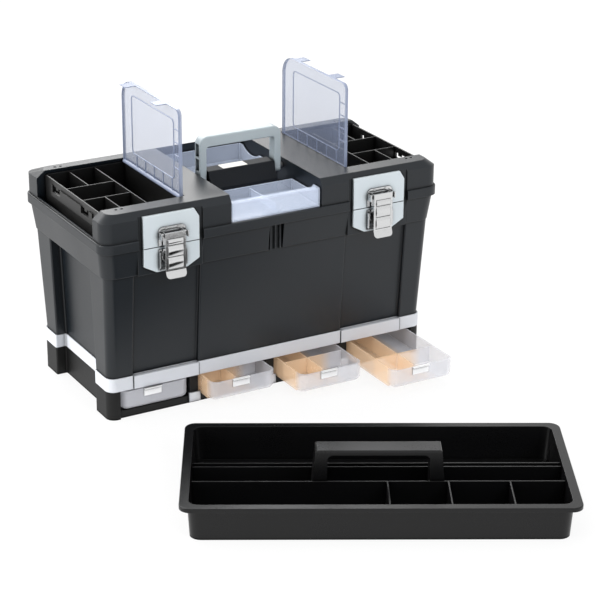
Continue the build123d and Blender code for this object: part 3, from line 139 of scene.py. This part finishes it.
class Recipe:
    """The nodes of one material or of the world."""

    def __init__(self, tree):
        self.tree = tree
        tree.nodes.clear()

    def node(self, kind, settings=None, inputs=None, out=0):
        """A node of a kind: its settings first, then the values or wires of its inputs."""
        made = self.tree.nodes.new(kind)
        for name, value in (settings or {}).items():
            setattr(made, name, value)
        for name, value in (inputs or {}).items():
            if isinstance(value, Wire):
                self.tree.links.new(value.socket, made.inputs[name])
            else:
                made.inputs[name].default_value = value
        return Wire(self, made.outputs[out])

    def place(self):
        return self.node("ShaderNodeTexCoord", out="Object")

    def noise(self, place, millimetres, detail=2.0, roughness=0.5):
        """Cloudy noise from 0 to 1, whose lumps are that many millimetres wide."""
        return self.node(
            "ShaderNodeTexNoise",
            {},
            {"Vector": place, "Scale": 1000.0 / millimetres, "Detail": detail, "Roughness": roughness},
        )

    def stretched(self, place, x, y, z):
        return self.node("ShaderNodeMapping", {}, {"Vector": place, "Scale": (x, y, z)})

    def mixed(self, share, first, second):
        """A colour between two colours."""
        return self.node(
            "ShaderNodeMix",
            {"data_type": "RGBA"},
            {"Factor": share, 6: first, 7: second},
            out=2,
        )

    def parts_of(self, vector):
        """The three numbers of a vector, as wires."""
        split = self.node("ShaderNodeSeparateXYZ", {}, {0: vector})
        return [Wire(self, output) for output in split.socket.node.outputs]

    def ends_in(self, shader, kind="ShaderNodeOutputMaterial"):
        ending = self.tree.nodes.new(kind)
        self.tree.links.new(shader.socket, ending.inputs["Surface"])


def colour(red, green, blue):
    """A colour as a paint shop gives it, 0 to 255, for a shader."""
    straight = [v / 255.0 for v in (red, green, blue)]
    bent = [v / 12.92 if v <= 0.04045 else ((v + 0.055) / 1.055) ** 2.4 for v in straight]
    return (*bent, 1.0)


def shade_of(tone, share):
    """A darker shade of a tone, with that share of its light."""
    return (*(v * share for v in tone[:3]), 1.0)


def new_recipe(name):
    material = bpy.data.materials.new(name)
    material.use_nodes = True
    return material, Recipe(material.node_tree)


# %% [markdown]
# The studio. Real product pictures of a dark box on white are lit from above and behind, with
# the dark room in front left dark: that keeps the front walls deep and draws bright sheets of
# light on all that lies flat. A world of one colour could not do that, so this one has a
# bright side and a dim side for the light, and plain white for the camera and for whatever is
# seen through the clear parts or mirrored in the metal.

# %% World
backdrop_white = (1.0, 1.0, 1.0, 1.0)
room_dim = (0.195, 0.218, 0.255, 1.0)
room_bright = (2.0, 1.98, 1.95, 1.0)
room_light = 0.75
bright_from_back = 0.75
bright_from_above = 0.7
bright_from_left = 0.35
dim_end, bright_end = -0.45, 0.85

world = bpy.data.worlds.new("studio_world")
scene.world = world
world.use_nodes = True
sky = Recipe(world.node_tree)
heading = sky.node("ShaderNodeTexCoord", out="Generated")
east, north, height = sky.parts_of(heading)
toward_light = north * bright_from_back + height * bright_from_above - east * bright_from_left
bright_side = toward_light.ramp(dim_end, bright_end)
room = sky.mixed(bright_side, room_dim, room_bright)
is_camera = sky.node("ShaderNodeLightPath", out="Is Camera Ray")
is_through = sky.node("ShaderNodeLightPath", out="Is Transmission Ray")
is_mirrored = sky.node("ShaderNodeLightPath", out="Is Glossy Ray")
seen = (is_camera + is_through + is_mirrored).limited()
white_sky = sky.node("ShaderNodeBackground", {}, {"Color": backdrop_white, "Strength": 1.0})
lit_sky = sky.node("ShaderNodeBackground", {}, {"Color": room, "Strength": room_light})
whole_sky = sky.node("ShaderNodeMixShader", {}, {0: seen, 1: lit_sky, 2: white_sky})
sky.ends_in(whole_sky, "ShaderNodeOutputWorld")
print("world", world.name)

# %% [markdown]
# The floor is one big sheet of white paper. Paper alone would come out grey away from the
# lamps, so most of what the camera sees of it is its own plain white, and the rest is paper
# that takes the box's soft shadow.

# %% Floor
floor_span = 60.0
floor_drop = 0.0004
paper_share = 0.13
paper_low = (0.86, 0.86, 0.86, 1.0)
paper_high = (0.90, 0.90, 0.90, 1.0)
fibre_mm = 900.0

bpy.ops.object.select_all(action="DESELECT")
bpy.ops.mesh.primitive_plane_add(size=floor_span, location=(0.0, 0.0, -floor_drop))
floor = bpy.context.active_object
floor.name = "studio_floor"
paper, sheet = new_recipe("white_paper")
is_camera = sheet.node("ShaderNodeLightPath", out="Is Camera Ray")
is_through = sheet.node("ShaderNodeLightPath", out="Is Transmission Ray")
is_mirrored = sheet.node("ShaderNodeLightPath", out="Is Glossy Ray")
seen = (is_camera + is_through + is_mirrored).limited()
fibres = sheet.noise(sheet.place(), fibre_mm)
sheet_tone = sheet.mixed(fibres, paper_low, paper_high)
flat_sheet = sheet.node("ShaderNodeBsdfDiffuse", {}, {"Color": sheet_tone})
glow = sheet.node("ShaderNodeEmission", {}, {"Color": backdrop_white, "Strength": 1.0})
own_white = seen * (1.0 - paper_share)
sheet.ends_in(sheet.node("ShaderNodeMixShader", {}, {0: own_white, 1: flat_sheet, 2: glow}))
floor.data.materials.append(paper)
print("floor", floor_span, "m")

# %% [markdown]
# Three soft lamps. The big one hangs behind and above the box and makes the sheen on the lid.
# One at the left lights the short end. A weak one by the camera opens up the front.

# %% Lamps
box_middle = Vector((0.0, -0.1, 0.15))


def soft_lamp(name, place, width, height, watts, mirrored=True):
    """A flat lamp at a place, turned to the box. One that isn't mirrored lights without a sheen."""
    data = bpy.data.lights.new(name, "AREA")
    data.shape = "RECTANGLE"
    data.size = width
    data.size_y = height
    data.energy = watts
    lamp = bpy.data.objects.new(name, data)
    scene.collection.objects.link(lamp)
    lamp.location = place
    lamp.visible_glossy = mirrored
    lamp.rotation_euler = (Vector(place) - box_middle).to_track_quat("Z", "Y").to_euler()
    return lamp


soft_lamp("lamp_behind", (0.3, 2.6, 2.2), 3.0, 1.8, 82.0)
soft_lamp("lamp_left", (-2.8, 0.2, 1.2), 1.6, 1.6, 42.0)
soft_lamp("lamp_front", (0.6, -3.2, 2.3), 1.4, 1.4, 58.0, mirrored=False)
scene.view_settings.view_transform = "Standard"
print(len(bpy.data.lights), "lamps")

# %% [markdown]
# Moulded plastic. The real parts are polypropylene from a spark-eroded mould: a fine even
# grain, slightly cloudy gloss, and edges that are never sharp. The Bevel node rounds the edges
# in the shading alone, which suits meshes of loose triangles, where a Bevel modifier would
# tear. Where the rounded and the flat normal differ there is an edge, and there the plastic is
# painted a little paler and smoother, unevenly: partly wear, as on a box that has been handled,
# and partly a painted highlight along the edges. The creases are painted darker as shade, and
# in the seams between two mouldings, where little light gets in, a plain dark matte takes over
# as painted shade.

# %% Moulded plastic
def edges_of(recipe, round_mm):
    """The rounded normal, and a mask that is 1 along the edges."""
    rounded = recipe.node("ShaderNodeBevel", {"samples": 6}, {"Radius": round_mm / 1000.0})
    flat = recipe.node("ShaderNodeNewGeometry", out="Normal")
    likeness = recipe.node(
        "ShaderNodeVectorMath", {"operation": "DOT_PRODUCT"}, {0: rounded, 1: flat}, out="Value"
    )
    return rounded, (1.0 - likeness).ramp(0.01, 0.22)


crease_shut, crease_open = 0.45, 0.97


def creases_of(recipe, reach_mm):
    """0 in the narrow creases between faces, where light hardly comes, and 1 in the open."""
    open_sky = recipe.node(
        "ShaderNodeAmbientOcclusion", {"samples": 6}, {"Distance": reach_mm / 1000.0}, out="AO"
    )
    return open_sky.ramp(crease_shut, crease_open)


# Painted shade in the seams between mouldings: how far it reaches, how strong it is, and its black.
seam_shade_reach_mm = 5.0
seam_shade_depth = 0.75
seam_shade_black = (0.002, 0.002, 0.002, 1.0)
# Painted shade in the creases: how far it reaches and how much of the tone is left there.
crease_shade_reach_mm = 10.0
crease_shade_share = 0.30
scuff_paleness = 0.03


def moulded(name, tone, gloss, grain_mm=1.4, grain=0.25, wear_and_highlight=0.35, round_mm=0.9, cloud=0.08, shine=0.5):
    """Grained opaque plastic of a tone, with a roughness of gloss, edges painted paler as wear and
    highlight, and painted shade in creases and seams.
    """
    material, r = new_recipe(name)
    place = r.place()
    rounded, edge = edges_of(r, round_mm)
    clouds = r.noise(place, 140.0, 3.0)
    patches = r.noise(place, 28.0, 4.0, 0.6)
    speckle = r.noise(place, grain_mm, 2.0, 0.6)
    scuffs = r.noise(r.stretched(place, 1.0, 1.0, 7.0), 9.0, 3.0, 0.7).ramp(0.62, 0.78)
    paler = tuple(min(1.0, v * 1.9 + 0.045) for v in tone[:3]) + (1.0,)
    deeper = shade_of(tone, 1.0 - cloud)
    body = r.mixed(clouds, deeper, tone)
    # Painted highlight and wear: along the edges the plastic is painted paler, in patches.
    worn_and_lit_edge = edge * patches.ramp(0.42, 0.66) * wear_and_highlight
    # Painted shade: the creases are painted darker, where little light reaches.
    painted_crease_shade = shade_of(tone, crease_shade_share)
    body = r.mixed(creases_of(r, crease_shade_reach_mm), painted_crease_shade, body)
    surface = r.mixed((worn_and_lit_edge + scuffs * scuff_paleness).limited(), body, paler)
    uneven = (clouds - 0.5) * 0.14 + (speckle - 0.5) * 0.10
    rough = (gloss + uneven - edge * 0.06 + scuffs * 0.05).limited()
    relief = r.node(
        "ShaderNodeBump",
        {},
        {"Strength": grain, "Distance": 0.00012, "Height": speckle, "Normal": rounded},
    )
    shader = r.node(
        "ShaderNodeBsdfPrincipled",
        {},
        {"Base Color": surface, "Roughness": rough, "Normal": relief, "Specular IOR Level": shine},
    )
    # Painted shade: a plain dark matte takes over in the narrow seams between mouldings.
    painted_seam_shade = r.node("ShaderNodeBsdfDiffuse", {}, {"Color": seam_shade_black})
    open_share = creases_of(r, seam_shade_reach_mm) * seam_shade_depth + (1.0 - seam_shade_depth)
    r.ends_in(r.node("ShaderNodeMixShader", {}, {0: open_share, 1: painted_seam_shade, 2: shader}))
    return material


# %% [markdown]
# Clear and frosted plastic. Glass shaders look right for a clear pane but need many bounces,
# and thin ribs turn black in them. These mouldings are milky polypropylene, which scatters
# part of the light and lets the rest through straight, so a pale plastic that is part see-through
# comes closer. A surface seen edge on, and the thin rims and ribs, gather more of the milk.

# %% See-through plastic
milk_cloud = 0.93


def see_through(
    name, tone, pane, rim, gloss=0.22, face_axis=None, proud_of=None, glow=0.1, tint=None, tint_mask=None
):
    """Milky plastic: pane and rim are how much of the light the broad faces and the rims stop,
    and glow is the strength of a painted glow in the plastic's own pale colour, standing in for
    light that the milk scatters through."""
    material, r = new_recipe(name)
    place = r.place()
    rounded, edge = edges_of(r, 0.6)
    clouds = r.noise(place, 60.0, 3.0)
    ripple = r.noise(place, 6.0, 2.0)
    along = r.node("ShaderNodeTexCoord", out="Normal")
    sides = r.parts_of(along)
    if face_axis is None:
        thin = edge
    else:
        thin = (1.0 - sides[face_axis].size().ramp(0.3, 0.8) + edge * 0.6).limited()
    if proud_of is not None:
        out = r.parts_of(place)[face_axis].size()
        thin = (thin + out.above(proud_of)).limited()
    grazing = r.node("ShaderNodeLayerWeight", {}, {"Blend": 0.35}, out="Facing")
    stops = (pane + (rim - pane) * thin + grazing * 0.10 + (clouds - 0.5) * 0.04).limited()
    tone_low = shade_of(tone, milk_cloud)
    body = r.mixed(clouds, tone_low, tone)
    if tint is not None:
        body = r.mixed(tint_mask(r, place), body, tint)
    rough = (gloss + (clouds - 0.5) * 0.12 + (ripple - 0.5) * 0.05).limited()
    relief = r.node(
        "ShaderNodeBump",
        {},
        {"Strength": 0.12, "Distance": 0.0002, "Height": ripple, "Normal": rounded},
    )
    # Painted light: the emission makes the plastic glow in its own colour, for light that the milk would
    # scatter.
    shader = r.node(
        "ShaderNodeBsdfPrincipled",
        {},
        {
            "Base Color": body,
            "Roughness": rough,
            "Alpha": stops,
            "Normal": relief,
            "Emission Color": body,
            "Emission Strength": glow,
        },
    )
    r.ends_in(shader)
    return material


# %% [markdown]
# Metal. The latches are pressed sheet with bright plating, which mirrors the white studio and
# the dark box beside it and so shows both in hard stripes. The sheet is never flat, so a slow
# bump bends the stripes. The hair scratches run one way, and the narrow gaps between the pressed
# parts are painted dark as shade. The pins are plain zinc-plated steel, a rougher and darker metal.

# %% Metal
stain_share = 0.45
# Painted shade in the narrow gaps: how much of the tone is left there and how far it reaches.
metal_gap_shade_share = 0.12
metal_gap_shade_reach_mm = 3.0


def metal(name, tone, gloss, wave=0.25, dirt=0.25):
    """Bare or plated metal with soft dents, hair scratches, a little dirt in patches, and painted shade
    in the narrow gaps.
    """
    material, r = new_recipe(name)
    place = r.place()
    rounded, edge = edges_of(r, 0.5)
    dents = r.noise(place, 11.0, 1.0)
    hairs = r.noise(r.stretched(place, 1.0, 1.0, 14.0), 4.0, 4.0, 0.8).ramp(0.55, 0.75)
    stains = r.noise(place, 16.0, 4.0, 0.6).ramp(0.52, 0.8)
    dull = shade_of(tone, stain_share)
    surface = r.mixed((stains * dirt + (1.0 - edge) * hairs * 0.06).limited(), tone, dull)
    # Painted shade: the narrow gaps between the pressed parts are painted darker.
    painted_gap_shade = shade_of(tone, metal_gap_shade_share)
    surface = r.mixed(creases_of(r, metal_gap_shade_reach_mm), painted_gap_shade, surface)
    rough = (gloss + hairs * 0.06 + stains * 0.10).limited()
    relief = r.node(
        "ShaderNodeBump",
        {},
        {"Strength": wave, "Distance": 0.0006, "Height": dents, "Normal": rounded},
    )
    shader = r.node(
        "ShaderNodeBsdfPrincipled",
        {},
        {"Base Color": surface, "Metallic": 1.0, "Roughness": rough, "Normal": relief},
    )
    r.ends_in(shader)
    return material


# %% [markdown]
# The tones. They are what the plastics are made of and not what the picture shows: the black
# ones get most of their grey from the light that they mirror, so their own tone is far darker.

# %% Finishes
drawer_pitch = 0.133
drawer_gap = 0.004
# Where a warm tint lies in the opened drawers: from behind the front, fading out across to the right, and
# how strong it is.
warm_tint_start, warm_tint_full = 0.006, 0.020
warm_tint_edge, warm_tint_end = 0.014, 0.034
warm_tint_strength = 0.85
drawer_faces = (-0.160, -0.200, -0.255)
cover_pane_face = 0.1424


def warm_inside(r, place):
    """The left parts of the three opened drawers, behind their fronts, which take a warm tint."""
    x, y = r.parts_of(place)[:2]
    second = x.above(0.0)
    third = x.above(drawer_pitch)
    face = (
        drawer_faces[0]
        + second * (drawer_faces[1] - drawer_faces[0])
        + third * (drawer_faces[2] - drawer_faces[1])
    )
    across = x - (second + third) * drawer_pitch + drawer_pitch / 2
    opened = x.above(-drawer_pitch - drawer_gap)
    behind_face = (y - face).ramp(warm_tint_start, warm_tint_full)
    left_part = 1.0 - across.ramp(warm_tint_edge, warm_tint_end)
    return opened * behind_face * left_part * warm_tint_strength


finishes = {
    "graphite_plastic": moulded(
        "graphite_plastic", (0.0030, 0.0058, 0.0092, 1.0), 0.36, grain=0.3, wear_and_highlight=1.0, round_mm=1.4,
        shine=0.48
    ),
    # A shaded copy of the graphite plastic for the console block: rougher, less shiny and a little paler,
    # which holds down the sheen that falls on its flat top.
    "console_shaded_graphite": moulded(
        "console_shaded_graphite", (0.0080, 0.0095, 0.0120, 1.0), 0.62, grain=0.3, wear_and_highlight=0.7, shine=0.22
    ),
    "base_plastic": moulded(
        "base_plastic", (0.004, 0.004, 0.004, 1.0), 0.5, grain=0.35, wear_and_highlight=0.4, shine=0.3
    ),
    "bin_plastic": moulded("bin_plastic", (0.004, 0.004, 0.004, 1.0), 0.42, wear_and_highlight=0.5),
    "tray_plastic": moulded(
        "tray_plastic", (0.003, 0.003, 0.0033, 1.0), 0.3, grain=0.15, wear_and_highlight=0.5, shine=0.34
    ),
    "trim_plastic": moulded("trim_plastic", colour(214, 217, 223), 0.45, grain=0.5, wear_and_highlight=0.1, cloud=0.05),
    "latch_plastic": moulded("latch_plastic", colour(203, 212, 217), 0.4, grain=0.4, wear_and_highlight=0.1, cloud=0.05),
    "handle_plastic": moulded("handle_plastic", colour(170, 180, 184), 0.40, wear_and_highlight=0.12, cloud=0.06),
    "label_paper": moulded("label_paper", colour(228, 226, 216), 0.5, wear_and_highlight=0.0, cloud=0.04),
    # The see-through plastics carry a painted glow; the milky boxes get the most, as their insides lie in
    # shade.
    "clear_plastic": see_through(
        "clear_plastic", colour(138, 148, 172), 0.28, 0.78, 0.12, face_axis=0,
        proud_of=cover_pane_face, glow=0.10,
    ),
    "frosted_plastic": see_through(
        "frosted_plastic", colour(222, 223, 229), 0.33, 0.92, 0.25, glow=0.12,
        tint=colour(250, 214, 170), tint_mask=warm_inside,
    ),
    "milky_plastic": see_through("milky_plastic", colour(208, 218, 236), 0.26, 0.97, 0.2, glow=0.32),
    "white_plastic": moulded("white_plastic", colour(250, 250, 251), 0.35, wear_and_highlight=0.0, cloud=0.03),
    "chrome_steel": metal("chrome_steel", (0.66, 0.665, 0.67, 1.0), 0.14, wave=0.12, dirt=0.12),
    "plain_steel": metal("plain_steel", (0.50, 0.50, 0.51, 1.0), 0.32, wave=0.1),
}
for part in frame["record"]["subparts"]:
    owner = nodes[part["node"]]
    owner.data.materials.clear()
    # The console block gets the shaded copy of the graphite plastic.
    finish = "console_shaded_graphite" if part["node"] == "console_block" else part["material_slot"]
    owner.data.materials.append(finishes[finish])
print(len(finishes), "finishes")

# %% [markdown]
# Each latch lever is a pressed strip with three shallow bulges between its grooves, which
# stiffen it. They catch the light one by one, and make the row of bright bars that says latch
# from across a room. Each bulge is a slice off a lying cylinder: cut the slice, soften its rim,
# and let it ride on its lever. A subdivided plane would do too, but takes longer to bend evenly.

# %% Lever panels
seam_height = 0.276
panel_heights = ((0.0045, 0.0135), (-0.0135, 0.0030), (-0.0325, -0.0150))
panel_width = 0.0245
panel_bulge = 0.0017
panel_sink = 0.0003
face_margin = 0.002
panel_rim = 0.0006


def lever_face(lever, low, high):
    """How far forward the lever's own sheet reaches between two heights."""
    return min(v.co.y for v in lever.data.vertices if low <= v.co.z <= high)


def pressed_panel(name, middle_x, face_y, low, high):
    """A slice off a lying cylinder, bulging forward from the lever's face, with a softened rim."""
    chord = high - low
    radius = chord ** 2 / (8.0 * panel_bulge) + panel_bulge / 2.0
    bpy.ops.object.select_all(action="DESELECT")
    bpy.ops.mesh.primitive_cylinder_add(
        vertices=160,
        radius=radius,
        depth=panel_width,
        location=(middle_x, face_y - panel_bulge + radius, (low + high) / 2.0),
        rotation=(0.0, math.pi / 2.0, 0.0),
    )
    panel = bpy.context.active_object
    panel.name = name
    bpy.ops.object.transform_apply(location=True, rotation=True, scale=True)
    bpy.ops.object.mode_set(mode="EDIT")
    bpy.ops.mesh.select_all(action="SELECT")
    bpy.ops.mesh.bisect(
        plane_co=(middle_x, face_y + panel_sink, low),
        plane_no=(0.0, 1.0, 0.0),
        clear_outer=True,
        use_fill=True,
    )
    bpy.ops.object.mode_set(mode="OBJECT")
    soft = panel.modifiers.new("soft_rim", "BEVEL")
    soft.width = panel_rim
    soft.segments = 3
    soft.limit_method = "ANGLE"
    soft.angle_limit = math.radians(35.0)
    bpy.ops.object.modifier_apply(modifier=soft.name)
    bpy.ops.object.shade_smooth_by_angle(angle=math.radians(40.0))
    panel.data.materials.append(finishes["chrome_steel"])
    return panel


for side in ("left", "right"):
    lever = nodes[f"latch_lever_{side}"]
    low_corner, high_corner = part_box(lever.name)
    middle = (low_corner[0] + high_corner[0]) / 2.0
    for number, (low, high) in enumerate(panel_heights, start=1):
        low, high = seam_height + low, seam_height + high
        face = lever_face(lever, low - face_margin, high + face_margin)
        panel = pressed_panel(f"lever_panel_{side}_{number}", middle, face, low, high)
        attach(panel, f"lever_{side}")
    print("lever", side, "has", len(panel_heights), "panels")
